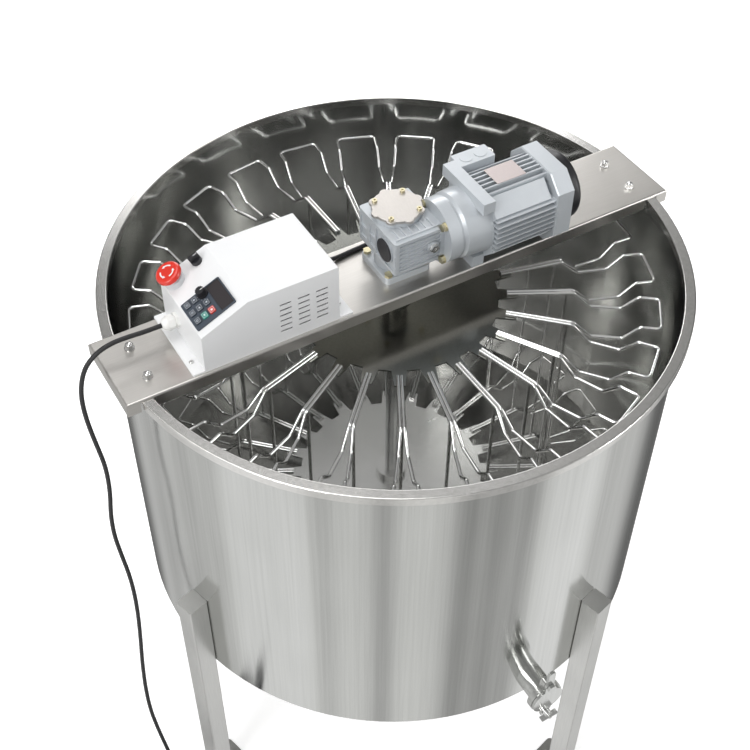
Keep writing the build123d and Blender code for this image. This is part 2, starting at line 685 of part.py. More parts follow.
with BuildPart() as upper_disc:
    hub_disc(UPPER_DISC_TOP)
    ring(Plane.XY.offset(UPPER_DISC_TOP), 30, SHAFT_R, 8)
upper_disc.part.label = "upper_disc"
export_step(upper_disc.part, "parts/upper_disc.step")

with BuildPart() as lower_disc:
    hub_disc(LOWER_DISC_TOP)
    ring(Plane.XY.offset(LOWER_DISC_TOP), 30, SHAFT_R, 14)
lower_disc.part.label = "lower_disc"
export_step(lower_disc.part, "parts/lower_disc.step")

HALF = radians(PITCH / 2)
START_R = 200.0
START_A = START_R * cos(HALF)
START_W = START_R * sin(HALF) - WIRE_R - 0.15
BEND_A = DIP_START_R * cos(HALF)


def wire_loop(wire_z, dip):
    """One bent wire: out along a tooth, through the dip, across the end and back again."""
    half = [
        (START_A, START_W, wire_z),
        (BEND_A, LOOP_HALF_W + 0.2, wire_z),
        (DIP_FORK_R, LOOP_HALF_W, wire_z - dip),
        (DIP_RISE_R, LOOP_HALF_W, wire_z - dip),
        (DIP_END_R, LOOP_HALF_W, wire_z),
        (LOOP_END_R, LOOP_HALF_W, wire_z),
    ]
    mirrored = [(a, -w, z) for a, w, z in reversed(half)]
    with BuildLine() as route:
        FilletPolyline(*half, *mirrored, radius=9)
    start = half[0]
    nxt = half[1]
    heading = (nxt[0] - start[0], nxt[1] - start[1], nxt[2] - start[2])
    with BuildSketch(Plane(origin=start, z_dir=heading)) as section:
        Circle(WIRE_R)
    sweep(section.sketch, path=route.line)


UPPER_WIRE_Z = UPPER_DISC_TOP + WIRE_R - 0.2
LOWER_WIRE_Z = LOWER_DISC_TOP + WIRE_R - 0.2

with BuildPart() as one_upper_loop:
    wire_loop(UPPER_WIRE_Z, LOOP_DIP)

with BuildPart() as upper_loops:
    with Locations(Rotation(0, 0, BASKET_ANGLE)):
        with PolarLocations(0, SLOTS):
            add(one_upper_loop.part)
upper_loops.part.label = "upper_loops"
export_step(upper_loops.part, "parts/upper_loops.step")

with BuildPart() as one_lower_loop:
    wire_loop(LOWER_WIRE_Z, LOOP_DIP)

with BuildPart() as lower_loops:
    with Locations(Rotation(0, 0, BASKET_ANGLE)):
        with PolarLocations(0, SLOTS):
            add(one_lower_loop.part)
lower_loops.part.label = "lower_loops"
export_step(lower_loops.part, "parts/lower_loops.step")

# Upright rods tie each pair of upper wires to the pair below it.
with BuildPart() as basket_rods:
    with BuildSketch(Plane.XY.offset(LOWER_WIRE_Z + 2.4)):
        with Locations(Rotation(0, 0, BASKET_ANGLE + PITCH / 2)):
            with PolarLocations(ROD_PCR, SLOTS):
                Circle(WIRE_R)
    extrude(amount=UPPER_WIRE_Z - LOWER_WIRE_Z - 4.8)
basket_rods.part.label = "basket_rods"
export_step(basket_rods.part, "parts/basket_rods.step")

# ---------------------------------------------------------------- control box
SLOPE = atan2(BOX_Z1 - BOX_SLOPE_Z, BOX_SLOPE_X - BOX_X0)
SLOPE_L = hypot(BOX_Z1 - BOX_SLOPE_Z, BOX_SLOPE_X - BOX_X0)
panel = Plane(
    origin=(BOX_X0, BOX_Y0, BOX_SLOPE_Z),
    x_dir=(cos(SLOPE), 0, sin(SLOPE)),
    z_dir=(-sin(SLOPE), 0, cos(SLOPE)),
)
BOX_Z0 = BAR_TOP + 2.0
BOX_PROFILE = [
    (BOX_X0, BOX_Z0),
    (BOX_X1, BOX_Z0),
    (BOX_X1, BOX_Z1),
    (BOX_SLOPE_X, BOX_Z1),
    (BOX_X0, BOX_SLOPE_Z),
]
GLAND_Y = 25.0
GLAND_Z = RIM_TOP + 38.0
KEYPAD_U = (3.0, 79.0)
KEYPAD_V = (15.0, 80.0)
KEYPAD_H = 3.0
WINDOW_U = 64.5
WINDOW_V = 47.5
WINDOW_L = 61.0
WINDOW_W = 25.0
KNOB_U = 43.0
KNOB_V = 69.5
KEYS = {
    "menu_key": (12.5, 70.0),
    "up_key": (26.5, 70.0),
    "enter_key": (12.5, 50.5),
    "shift_key": (26.5, 50.5),
    "down_key": (40.5, 50.5),
    "jog_key": (12.5, 31.0),
    "run_key": (26.5, 31.0),
    "stop_key": (40.5, 31.0),
}
KEY_L = 10.5
KEY_W = 13.0
ESTOP_U = 19.3
ESTOP_V = 134.0
SELECTOR_U = 66.0
SELECTOR_V = 137.0
MOTOR_LEAD_Y = 50.0
MOTOR_LEAD_Z = RIM_TOP + 20.0

with BuildPart() as control_box_cover:
    with BuildSketch(Plane.XZ.offset(-BOX_Y0)):
        with BuildLine():
            Polyline(*BOX_PROFILE, close=True)
        make_face()
    extrude(amount=-(BOX_Y1 - BOX_Y0))
    fillet(control_box_cover.edges().filter_by(Axis.Y).filter_by(lambda e: e.center().Z > BOX_Z0 + 5), 2.5)
    with BuildSketch(Plane.XZ.offset(-BOX_Y0 - BOX_T)):
        with BuildLine():
            Polyline(
                (BOX_X0 + BOX_T, BOX_Z0),
                (BOX_X1 - BOX_T, BOX_Z0),
                (BOX_X1 - BOX_T, BOX_Z1 - BOX_T),
                (BOX_SLOPE_X + 0.3, BOX_Z1 - BOX_T),
                (BOX_X0 + BOX_T, BOX_SLOPE_Z - 0.9),
                close=True,
            )
        make_face()
    extrude(amount=-(BOX_Y1 - BOX_Y0 - 2 * BOX_T), mode=Mode.SUBTRACT)
    # folded feet with the base screws
    for x_in, x_out in ((BOX_X0, BOX_X0 - 20), (BOX_X1, BOX_X1 + 24)):
        with Locations(((x_in + x_out) / 2, (BOX_Y0 + BOX_Y1) / 2, BOX_Z0 + BOX_T / 2)):
            Box(abs(x_out - x_in) + 0.02, BOX_Y1 - BOX_Y0, BOX_T)
    # air slots, three columns of six on each long side
    with Locations(Plane.XZ):
        with Locations((-216.5, RIM_TOP + 55.5)):
            with GridLocations(33, 11.4, 3, 6):
                Box(21, 3.2, 400, mode=Mode.SUBTRACT)
    # keypad, stop, selector, gland and motor lead openings
    with BuildSketch(panel.offset(-5)):
        with Locations((WINDOW_U, WINDOW_V)):
            Rectangle(WINDOW_W - 8, WINDOW_L - 12)
        with Locations((ESTOP_U, ESTOP_V)):
            Circle(11)
        with Locations((SELECTOR_U, SELECTOR_V)):
            Circle(5)
        with Locations((KNOB_U, KNOB_V)):
            Circle(3.2)
        with Locations(*KEYS.values()):
            Circle(2)
    extrude(amount=10, mode=Mode.SUBTRACT)
    with BuildSketch(along_x(BOX_X0 - 2, GLAND_Y, GLAND_Z)):
        Circle(8)
    extrude(amount=6, mode=Mode.SUBTRACT)
    with BuildSketch(along_x(BOX_X1 - 4, MOTOR_LEAD_Y, MOTOR_LEAD_Z)):
        Circle(CORD_R + 0.5)
    extrude(amount=6, mode=Mode.SUBTRACT)
    with BuildSketch(Plane.XY.offset(BOX_Z0 - 1)):
        with Locations((BOX_X0 - 11, 4)):
            GridLocations(1, 1, 1, 1)
            with GridLocations(0.01, 100, 1, 2):
                Circle(2.1)
        with Locations((BOX_X1 + 13, 4)):
            with GridLocations(0.01, 100, 1, 2):
                Circle(2.1)
    extrude(amount=4, mode=Mode.SUBTRACT)
control_box_cover.part.label = "control_box_cover"
export_step(control_box_cover.part, "parts/control_box_cover.step")

with BuildPart() as control_box_base:
    with Locations(((BOX_X0 - 21 + BOX_X1 + 26) / 2, (BOX_Y0 + BOX_Y1) / 2, BAR_TOP + 1)):
        Box(BOX_X1 + 26 - BOX_X0 + 21, BOX_Y1 - BOX_Y0, 2)
    fillet(control_box_base.edges().filter_by(Axis.Z), 2)
control_box_base.part.label = "control_box_base"
export_step(control_box_base.part, "parts/control_box_base.step")

with BuildPart() as box_screws:
    with BuildSketch(Plane.XY.offset(BOX_Z0)):
        for x in (BOX_X0 - 11, BOX_X1 + 13):
            with Locations((x, 4)):
                with GridLocations(0.01, 100, 1, 2):
                    Circle(2.0)
    extrude(amount=BOX_T)
    with BuildSketch(Plane.XY.offset(BOX_Z0 + BOX_T)):
        for x in (BOX_X0 - 11, BOX_X1 + 13):
            with Locations((x, 4)):
                with GridLocations(0.01, 100, 1, 2):
                    Circle(4.2)
    extrude(amount=2.6)
    fillet(box_screws.edges().group_by(Axis.Z)[-1], 1.2)
    with BuildSketch(Plane.XY.offset(BOX_Z0 + BOX_T + 1.4)):
        for x in (BOX_X0 - 11, BOX_X1 + 13):
            with Locations((x, 4)):
                with GridLocations(0.01, 100, 1, 2):
                    Rectangle(4.6, 1.1)
                    Rectangle(1.1, 4.6)
    extrude(amount=2, mode=Mode.SUBTRACT)
box_screws.part.label = "box_screws"
export_step(box_screws.part, "parts/box_screws.step")

with BuildPart() as inverter_module:
    with Locations((-222, 4, BOX_Z0 + 45)):
        Box(110, 110, 90)
    fillet(inverter_module.edges().filter_by(Axis.Z), 3)
    with Locations((-222, 4, BOX_Z0 + 90)):
        with GridLocations(12, 0, 8, 1):
            Box(4, 90, 10, mode=Mode.SUBTRACT)
inverter_module.part.label = "inverter_module"
export_step(inverter_module.part, "parts/inverter_module.step")

KEY_GAP = 0.6
with BuildPart() as keypad_panel:
    with BuildSketch(panel):
        with Locations(((KEYPAD_U[0] + KEYPAD_U[1]) / 2, (KEYPAD_V[0] + KEYPAD_V[1]) / 2)):
            RectangleRounded(KEYPAD_U[1] - KEYPAD_U[0], KEYPAD_V[1] - KEYPAD_V[0], 3)
    extrude(amount=KEYPAD_H)
    # display window
    with BuildSketch(panel.offset(KEYPAD_H - 1.2)):
        with Locations((WINDOW_U, WINDOW_V)):
            RectangleRounded(WINDOW_W, WINDOW_L, 1.5)
    extrude(amount=4, mode=Mode.SUBTRACT)
    # key pockets, with a hole for each plunger
    with BuildSketch(panel.offset(1.0)):
        with Locations(*KEYS.values()):
            RectangleRounded(KEY_L + 2 * KEY_GAP, KEY_W + 2 * KEY_GAP, 1.8)
    extrude(amount=4, mode=Mode.SUBTRACT)
    with BuildSketch(panel.offset(-1)):
        with Locations(*KEYS.values()):
            Circle(1.6)
        with Locations((KNOB_U, KNOB_V)):
            Circle(2.55)
    extrude(amount=6, mode=Mode.SUBTRACT)
keypad_panel.part.label = "keypad_panel"
export_step(keypad_panel.part, "parts/keypad_panel.step")

KEY_LIFT = 2.4
KEY_TOP = 4.6
for key_name, key_at in KEYS.items():
    with BuildPart() as key:
        with BuildSketch(panel.offset(KEY_LIFT)):
            with Locations(key_at):
                RectangleRounded(KEY_L, KEY_W, 1.5)
        extrude(amount=KEY_TOP - KEY_LIFT)
        fillet(key.edges().filter_by(GeomType.LINE).sort_by(Axis(panel.origin, panel.z_dir))[-4:], 0.5)
        with BuildSketch(panel.offset(-3)):
            with Locations(key_at):
                Circle(1.5)
        extrude(amount=KEY_LIFT + 3)
    key.part.label = key_name
    export_step(key.part, "parts/" + key_name + ".step")

# Speed knob: its stem runs in the keypad panel.
with BuildPart() as speed_knob:
    with BuildSketch(panel.offset(-6)):
        with Locations((KNOB_U, KNOB_V)):
            Circle(2.5)
    extrude(amount=KEYPAD_H + 7)
    with BuildSketch(panel.offset(KEYPAD_H + 0.5)):
        with Locations((KNOB_U, KNOB_V)):
            Circle(9.5)
    extrude(amount=3)
    with BuildSketch(panel.offset(KEYPAD_H + 3.5)):
        with Locations((KNOB_U, KNOB_V)):
            Circle(7.8)
            with PolarLocations(8.2, 12):
                Circle(1.1, mode=Mode.SUBTRACT)
    extrude(amount=9)
    with BuildSketch(panel.offset(KEYPAD_H + 12)):
        with Locations((KNOB_U + 4, KNOB_V)):
            Rectangle(6.5, 1.4)
    extrude(amount=2, mode=Mode.SUBTRACT)
speed_knob.part.label = "speed_knob"
export_step(speed_knob.part, "parts/speed_knob.step")

COLLAR_H = 13.5
ESTOP_TRAVEL = 3.5
with BuildPart() as estop_collar:
    with BuildSketch(panel):
        with Locations((ESTOP_U, ESTOP_V)):
            Circle(18)
    extrude(amount=COLLAR_H)
    chamfer(estop_collar.edges().sort_by(Axis(panel.origin, panel.z_dir))[-1], 2.5)
    with BuildSketch(panel.offset(-14)):
        with Locations((ESTOP_U, ESTOP_V)):
            Circle(11)
    extrude(amount=14)
    with BuildSketch(panel.offset(-6)):
        with Locations((ESTOP_U, ESTOP_V)):
            RegularPolygon(15, 6)
    extrude(amount=4)
    with BuildSketch(panel.offset(-14)):
        with Locations((ESTOP_U, ESTOP_V)):
            Circle(8.05)
    extrude(amount=14 + COLLAR_H, mode=Mode.SUBTRACT)
estop_collar.part.label = "estop_collar"
export_step(estop_collar.part, "parts/estop_collar.step")

CAP_Z = COLLAR_H + ESTOP_TRAVEL + 0.8
with BuildPart() as estop_button:
    with BuildSketch(panel.offset(-12)):
        with Locations((ESTOP_U, ESTOP_V)):
            Circle(8)
    extrude(amount=CAP_Z + 13)
    with BuildSketch(panel.offset(CAP_Z)):
        with Locations((ESTOP_U, ESTOP_V)):
            Circle(20)
    extrude(amount=1.5)
    with BuildSketch(panel.offset(CAP_Z + 1.5)):
        with Locations((ESTOP_U, ESTOP_V)):
            Circle(22)
    extrude(amount=8.5)
    fillet(estop_button.edges().sort_by(Axis(panel.origin, panel.z_dir))[-1], 6)
estop_button.part.label = "estop_button"
export_step(estop_button.part, "parts/estop_button.step")

with BuildPart() as selector_knob:
    with BuildSketch(panel.offset(-8)):
        with Locations((SELECTOR_U, SELECTOR_V)):
            Circle(4.92)
    extrude(amount=9)
    with BuildSketch(panel.offset(0.5)):
        with Locations((SELECTOR_U, SELECTOR_V)):
            Circle(9.5)
    extrude(amount=8)
    with BuildSketch(panel.offset(8.5)):
        with Locations((SELECTOR_U, SELECTOR_V)):
            Rectangle(18.5, 7)
            Circle(9.5, mode=Mode.INTERSECT)
    extrude(amount=8)
    with BuildSketch(panel.offset(15.7)):
        with Locations((SELECTOR_U + 4.5, SELECTOR_V)):
            Rectangle(7.5, 1.6)
    extrude(amount=2, mode=Mode.SUBTRACT)
selector_knob.part.label = "selector_knob"
export_step(selector_knob.part, "parts/selector_knob.step")

# ---------------------------------------------------------------- mains lead
GLAND_TIP = BOX_X0 - 28.0
with BuildPart() as mains_gland:
    with BuildSketch(along_x(BOX_X0 - 5, GLAND_Y, GLAND_Z)):
        RegularPolygon(12.5, 6, major_radius=False)
        Circle(14, mode=Mode.INTERSECT)
    extrude(amount=5)
    with BuildSketch(along_x(BOX_X0 - 8, GLAND_Y, GLAND_Z)):
        Circle(10.5)
    extrude(amount=3)
    with BuildSketch(along_x(BOX_X0 - 18, GLAND_Y, GLAND_Z)):
        RegularPolygon(12.0, 6, major_radius=False)
        Circle(13.3, mode=Mode.INTERSECT)
    extrude(amount=10)
    with BuildSketch(Plane.XZ.offset(-GLAND_Y)):
        with BuildLine():
            Polyline(
                (BOX_X0 - 18, GLAND_Z),
                (BOX_X0 - 18, GLAND_Z + 11.8),
                (BOX_X0 - 22, GLAND_Z + 10.8),
                (BOX_X0 - 26, GLAND_Z + 8.2),
                (GLAND_TIP, GLAND_Z + 6.0),
                (GLAND_TIP, GLAND_Z),
                close=True,
            )
        make_face()
    revolve(axis=Axis(origin=(0, GLAND_Y, GLAND_Z), direction=(1, 0, 0)))
    with BuildSketch(along_x(BOX_X0, GLAND_Y, GLAND_Z)):
        Circle(8)
    extrude(amount=9)
    with BuildSketch(along_x(BOX_X0 + BOX_T, GLAND_Y, GLAND_Z)):
        RegularPolygon(11, 6, major_radius=False)
    extrude(amount=4)
mains_gland.part.label = "mains_gland"
export_step(mains_gland.part, "parts/mains_gland.step")

COIL_X = -652.0
COIL_Y = -152.0
CORD_ROUTE = [
    (GLAND_TIP, 25, 1168),
    (-453, 25, 1168),
    (-483, 25, 1171),
    (-512, 25, 1170.8),
    (-538, 25, 1162),
    (-559, 25, 1142.5),
    (-571, 25, 1114),
    (-577.5, 25, 1076),
    (-577, 25, 1024),
    (-571, 25, 962),
    (-563.5, 25, 895),
    (-566, 25, 826),
    (-574.5, 25, 766),
    (-577, 24, 708),
    (-573, 22, 648),
    (-567, 17, 570),
    (-569, 9, 490),
    (-578, -2, 408),
    (-590, -14, 326),
    (-598, -25, 246),
    (-600, -33, 176),
    (-597, -40, 122),
    (-594, -48, 82),
    (-591, -62, 47),
    (-589, -84, 21),
    (-590, -110, 7.5),
    (-594, -136, 4.2),
]


def corner_radii(route):
    """The largest arc that each corner's two runs leave room for."""
    radii = []
    for before, corner, after in zip(route, route[1:], route[2:]):
        run_in = Vector(*corner) - Vector(*before)
        run_out = Vector(*after) - Vector(*corner)
        turn = radians(run_in.get_angle(run_out))
        radii.append(0.45 * min(run_in.length, run_out.length) / tan(turn / 2))
    return radii


def tube_along(route):
    """A round cord of the standard radius: straight runs joined by tangent arcs."""
    radii = corner_radii(route)
    print("corner radii", [round(radius) for radius in radii])
    with BuildLine() as line:
        FilletPolyline(*route, radius=radii)
    heading = Vector(*route[1]) - Vector(*route[0])
    with BuildSketch(Plane(origin=route[0], z_dir=heading)) as section:
        Circle(CORD_R)
    sweep(section.sketch, path=line.line)
    length = line.wire().length
    print("length", round(length, 1), "section x length", round(pi * CORD_R**2 * length))


with BuildPart() as mains_cord:
    tube_along(CORD_ROUTE)
print("mains_cord volume", round(mains_cord.part.volume))
mains_cord.part.label = "mains_cord"
export_step(mains_cord.part, "parts/mains_cord.step")

COIL_IR = 28.3
COIL_OR = 61.7
COIL_H = 17.0
with BuildPart() as cord_coil:
    with BuildSketch(Plane.XY):
        with Locations((COIL_X, COIL_Y)):
            Circle(COIL_OR)
            Circle(COIL_IR, mode=Mode.SUBTRACT)
    extrude(amount=COIL_H)
    fillet(cord_coil.edges(), 3)
cord_coil.part.label = "cord_coil"
export_step(cord_coil.part, "parts/cord_coil.step")

PLUG_X = COIL_X - 18.0
PLUG_Y = COIL_Y - 57.3
PLUG_Z = 14.0
with BuildPart() as mains_plug:
    with BuildSketch(along_x(PLUG_X, PLUG_Y, PLUG_Z)):
        Circle(5.5)
    with BuildSketch(along_x(PLUG_X - 30, PLUG_Y, PLUG_Z)):
        Circle(9)
    loft()
    with BuildSketch(along_x(PLUG_X - 66, PLUG_Y, PLUG_Z)):
        RectangleRounded(36, 28, 11)
    extrude(amount=36)
    fillet(mains_plug.edges().group_by(Axis.X)[0], 1.5)
    with BuildSketch(along_x(PLUG_X - 85, PLUG_Y, PLUG_Z)):
        with GridLocations(19, 0, 2, 1):
            Circle(2.4)
    extrude(amount=19.5)
mains_plug.part.label = "mains_plug"
export_step(mains_plug.part, "parts/mains_plug.step")

LEAD_X = 165.0
LEAD_Y = WORM_Y + 76.5
LEAD_ROUTE = [
    (BOX_X1 - 4, MOTOR_LEAD_Y, MOTOR_LEAD_Z),
    (-128, 51, RIM_TOP + 18.5),
    (-104, 54, RIM_TOP + 12),
    (-80, 57, RIM_TOP + 8.3),
    (-48, 60, RIM_TOP + 8.1),
    (-4, 62, RIM_TOP + 8.1),
    (44, 62, RIM_TOP + 8.3),
    (84, 59, RIM_TOP + 8.6),
    (112, 55.5, RIM_TOP + 10.3),
    (134, 50.5, RIM_TOP + 16.5),
    (150, 45, RIM_TOP + 26.5),
    (160.5, 40, RIM_TOP + 38.5),
    (LEAD_X, LEAD_Y, RIM_TOP + 51.5),
    (LEAD_X, LEAD_Y, TB_Z0),
]
with BuildPart() as motor_lead:
    tube_along(LEAD_ROUTE)
print("motor_lead volume", round(motor_lead.part.volume))
motor_lead.part.label = "motor_lead"
export_step(motor_lead.part, "parts/motor_lead.step")

# ---------------------------------------------------------------- honey gate
GATE_R = 545.0  # where the gate's body begins, measured from the drum's axis
GATE_BODY_T = 12.0
PIVOT_UP = 46.0
STUD_DOWN = 42.0
FLAP_R = GATE_R + GATE_BODY_T + 0.3
FLAP_T = 6.0

with BuildPart() as gate_outlet:
    ring(gate_plane.offset(WALL_OR - 3), PIPE_OR, PIPE_OR - PIPE_T, GATE_R - WALL_OR + 3)
    with BuildSketch(gate_plane.offset(GATE_R)):
        Circle(34)
        with Locations((0, PIVOT_UP / 2)):
            Rectangle(22, PIVOT_UP)
        with Locations((0, PIVOT_UP)):
            Circle(11)
        with Locations((0, -STUD_DOWN / 2)):
            Rectangle(16, STUD_DOWN)
        with Locations((0, -STUD_DOWN)):
            Circle(8)
        Circle(PIPE_OR - PIPE_T, mode=Mode.SUBTRACT)
    extrude(amount=GATE_BODY_T)
    # pivot bolt, plain under the flap, and the clamping stud
    with BuildSketch(gate_plane.offset(GATE_R + GATE_BODY_T)):
        with Locations((0, PIVOT_UP)):
            Circle(5)
        with Locations((0, -STUD_DOWN)):
            Circle(3)
    extrude(amount=FLAP_T + 0.9)
    with BuildSketch(gate_plane.offset(FLAP_R + FLAP_T + 0.5)):
        with Locations((0, PIVOT_UP)):
            RegularPolygon(8, 6, major_radius=False)
        with Locations((0, -STUD_DOWN)):
            Circle(3)
    extrude(amount=6)
    with BuildSketch(gate_plane.offset(FLAP_R + FLAP_T + 6)):
        with Locations((0, -STUD_DOWN)):
            Circle(3)
    extrude(amount=10)
gate_outlet.part.label = "gate_outlet"
export_step(gate_outlet.part, "parts/gate_outlet.step")

with BuildPart() as gate_flap:
    with BuildSketch(gate_plane.offset(FLAP_R)):
        Circle(32)
        with Locations((0, PIVOT_UP / 2)):
            Rectangle(20, PIVOT_UP)
        with Locations((0, PIVOT_UP)):
            Circle(10)
        with Locations((0, -STUD_DOWN / 2)):
            Rectangle(20, STUD_DOWN + 14)
        with Locations((0, PIVOT_UP)):
            Circle(5.05, mode=Mode.SUBTRACT)
        # the slot that slides off the clamping stud follows the swing
        with Locations((0, PIVOT_UP)):
            with BuildSketch(mode=Mode.PRIVATE) as arc_slot:
                Circle(PIVOT_UP + STUD_DOWN + 3.6)
                Circle(PIVOT_UP + STUD_DOWN - 3.6, mode=Mode.SUBTRACT)
                Rectangle(400, 400, align=(Align.MIN, Align.CENTER), mode=Mode.INTERSECT)
        with Locations((0, PIVOT_UP)):
            add(arc_slot.sketch, mode=Mode.SUBTRACT)
        with Locations((0, -STUD_DOWN)):
            Circle(3.6, mode=Mode.SUBTRACT)
    extrude(amount=FLAP_T)
    with BuildSketch(gate_plane.offset(FLAP_R)):
        with Locations((0, PIVOT_UP + 27)):
            RectangleRounded(15, 38, 6)
    extrude(amount=FLAP_T)
gate_flap.part.label = "gate_flap"
export_step(gate_flap.part, "parts/gate_flap.step")

with BuildPart() as gate_clamp:
    with BuildSketch(gate_plane.offset(FLAP_R + FLAP_T + 0.5)):
        with Locations((0, -STUD_DOWN)):
            Circle(8)
    extrude(amount=9)
    with BuildSketch(gate_plane.offset(FLAP_R + FLAP_T + 4)):
        with Locations((0, -STUD_DOWN)):
            Rectangle(36, 3.5)
    extrude(amount=11)
    with BuildSketch(gate_plane.offset(FLAP_R + FLAP_T)):
        with Locations((0, -STUD_DOWN)):
            Circle(3.05)
    extrude(amount=20, mode=Mode.SUBTRACT)
    fillet(gate_clamp.edges().filter_by(Axis(gate_plane.origin, gate_plane.z_dir)).group_by(Axis.Z)[0], 1)
gate_clamp.part.label = "gate_clamp"
export_step(gate_clamp.part, "parts/gate_clamp.step")
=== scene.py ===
from math import atan2, cos, pi, radians, sin

import bmesh
import bpy
from mathutils import Matrix, Vector


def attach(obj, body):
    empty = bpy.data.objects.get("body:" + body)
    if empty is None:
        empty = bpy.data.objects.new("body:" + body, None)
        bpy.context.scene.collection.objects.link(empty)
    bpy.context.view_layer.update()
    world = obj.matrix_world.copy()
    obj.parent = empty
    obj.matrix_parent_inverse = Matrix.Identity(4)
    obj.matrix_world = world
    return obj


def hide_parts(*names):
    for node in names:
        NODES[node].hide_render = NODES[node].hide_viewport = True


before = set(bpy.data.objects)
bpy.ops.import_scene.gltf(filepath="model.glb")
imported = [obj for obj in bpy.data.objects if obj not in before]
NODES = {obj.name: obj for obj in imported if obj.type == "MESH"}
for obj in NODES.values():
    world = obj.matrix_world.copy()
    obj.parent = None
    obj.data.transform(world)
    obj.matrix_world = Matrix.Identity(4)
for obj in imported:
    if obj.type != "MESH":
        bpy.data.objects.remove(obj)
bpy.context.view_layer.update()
scene = bpy.context.scene


def link(obj):
    scene.collection.objects.link(obj)
    return obj


# ---------------------------------------------------------------- camera
CAMERA_AT = (-0.88073, -1.41771, 2.61840)
CAMERA_RIGHT = Vector((0.86286, -0.50542, 0.00519))
CAMERA_UP = Vector((0.36466, 0.62960, 0.68602))
CAMERA_BACK = Vector((-0.35000, -0.59005, 0.72756))

cam_data = bpy.data.cameras.new("camera")
cam = link(bpy.data.objects.new("camera", cam_data))
cam_data.sensor_width = 36.0
cam_data.lens = 61.66
cam_data.clip_start = 0.05
cam_data.clip_end = 60.0
turned = Matrix((CAMERA_RIGHT, CAMERA_UP, CAMERA_BACK)).transposed().to_4x4()
cam.matrix_world = Matrix.Translation(CAMERA_AT) @ turned
scene.camera = cam

# ---------------------------------------------------------------- mains cord
CORD_R = 0.004
ROUTE = [
    (-0.425, 0.025, 1.168), (-0.453, 0.025, 1.168), (-0.483, 0.025, 1.171), (-0.512, 0.025, 1.1708),
    (-0.538, 0.025, 1.162), (-0.559, 0.025, 1.1425), (-0.571, 0.025, 1.114), (-0.5775, 0.025, 1.076),
    (-0.577, 0.025, 1.024), (-0.571, 0.025, 0.962), (-0.5635, 0.025, 0.895), (-0.566, 0.025, 0.826),
    (-0.5745, 0.025, 0.766), (-0.577, 0.024, 0.708), (-0.573, 0.022, 0.648), (-0.567, 0.017, 0.570),
    (-0.569, 0.009, 0.490), (-0.578, -0.002, 0.408), (-0.590, -0.014, 0.326), (-0.598, -0.025, 0.246),
    (-0.600, -0.033, 0.176), (-0.597, -0.040, 0.122), (-0.594, -0.048, 0.082), (-0.591, -0.062, 0.047),
    (-0.589, -0.084, 0.021), (-0.590, -0.110, 0.0075), (-0.594, -0.136, 0.0042),
]

COIL = Vector((-0.652, -0.152, 0.0))
COIL_OUT, COIL_IN = 0.0573, 0.0327
COIL_STEP = 30  # degrees between points
STEPS_IN, STEPS_OUT = 36, 37
LOWER_Z, CLIMB_Z, CLIMBED_Z, UPPER_Z = 0.0042, 0.0083, 0.0125, 0.0126


def coil_points():
    """Three turns winding in on the floor, then three winding out on top of them."""
    polar = []
    for i in range(STEPS_IN + 1):
        polar.append((COIL_OUT + (COIL_IN - COIL_OUT) * i / STEPS_IN, -COIL_STEP * i, LOWER_Z))
    angle = -COIL_STEP * (STEPS_IN + 1)
    polar.append((COIL_IN, angle, CLIMB_Z))
    angle -= COIL_STEP
    polar.append((COIL_IN, angle, CLIMBED_Z))
    for i in range(1, STEPS_OUT + 1):
        polar.append((COIL_IN + (COIL_OUT - COIL_IN) * i / STEPS_OUT, angle - COIL_STEP * i, UPPER_Z))
    # A spline runs inside its control points, so they stand a little further out.
    swell = 1.0 / cos(radians(COIL_STEP / 2))
    return [
        (COIL.x + radius * swell * cos(radians(a)), COIL.y + radius * swell * sin(radians(a)), z)
        for radius, a, z in polar]


def spline_curve(name, points, radius):
    data = bpy.data.curves.new(name, "CURVE")
    data.dimensions = "3D"
    data.bevel_depth = 1.0  # times each point's own radius
    data.bevel_resolution = 5
    data.resolution_u = 8
    data.use_fill_caps = True
    spline = data.splines.new("NURBS")
    spline.points.add(len(points) - 1)
    for p, co in zip(spline.points, points):
        p.co = (*co, 1.0)
        p.radius = radius
    spline.order_u = 3
    spline.use_endpoint_u = True
    return link(bpy.data.objects.new(name, data))


plug_y = COIL.y - COIL_OUT
INTO_PLUG = [
    (COIL.x + 0.004, plug_y - 0.0006, 0.0128), (COIL.x - 0.008, plug_y, 0.0135),
    (COIL.x - 0.018, plug_y, 0.014)]
cord = spline_curve("mains_cord_flex", ROUTE + coil_points()[:-1] + INTO_PLUG, CORD_R)
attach(cord, "stand")
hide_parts("mains_cord", "cord_coil")

# ---------------------------------------------------------------- materials
GRAIN_SCALE, GRAIN_SHARE, GRAIN_DEPTH = 40.0, 0.45, 0.0004
CLOUD_SCALE = 3.0
BLOTCH_SCALE = 6.0
PEEL_DEPTH = 0.0005


def new_material(name):
    m = bpy.data.materials.new(name)
    m.use_nodes = True
    tree = m.node_tree
    return m, tree, tree.nodes["Principled BSDF"]


def node(tree, kind, **sockets):
    n = tree.nodes.new(kind)
    for key, value in sockets.items():
        n.inputs[key].default_value = value
    return n


def mapped(tree, scale):
    coord = tree.nodes.new("ShaderNodeTexCoord")
    mapping = node(tree, "ShaderNodeMapping", Scale=scale)
    tree.links.new(coord.outputs["Object"], mapping.inputs["Vector"])
    return mapping.outputs["Vector"]


def noise(tree, vector, scale, detail, rough=0.55):
    n = node(tree, "ShaderNodeTexNoise", Scale=scale, Detail=detail, Roughness=rough)
    tree.links.new(vector, n.inputs["Vector"])
    return n.outputs["Fac"]


def spread(tree, value, low, high, start=0.3, end=0.7):
    """Values from start to end become low to high."""
    n = node(tree, "ShaderNodeMapRange")
    n.inputs["From Min"].default_value = start
    n.inputs["From Max"].default_value = end
    n.inputs["To Min"].default_value = low
    n.inputs["To Max"].default_value = high
    tree.links.new(value, n.inputs["Value"])
    return n.outputs["Result"]


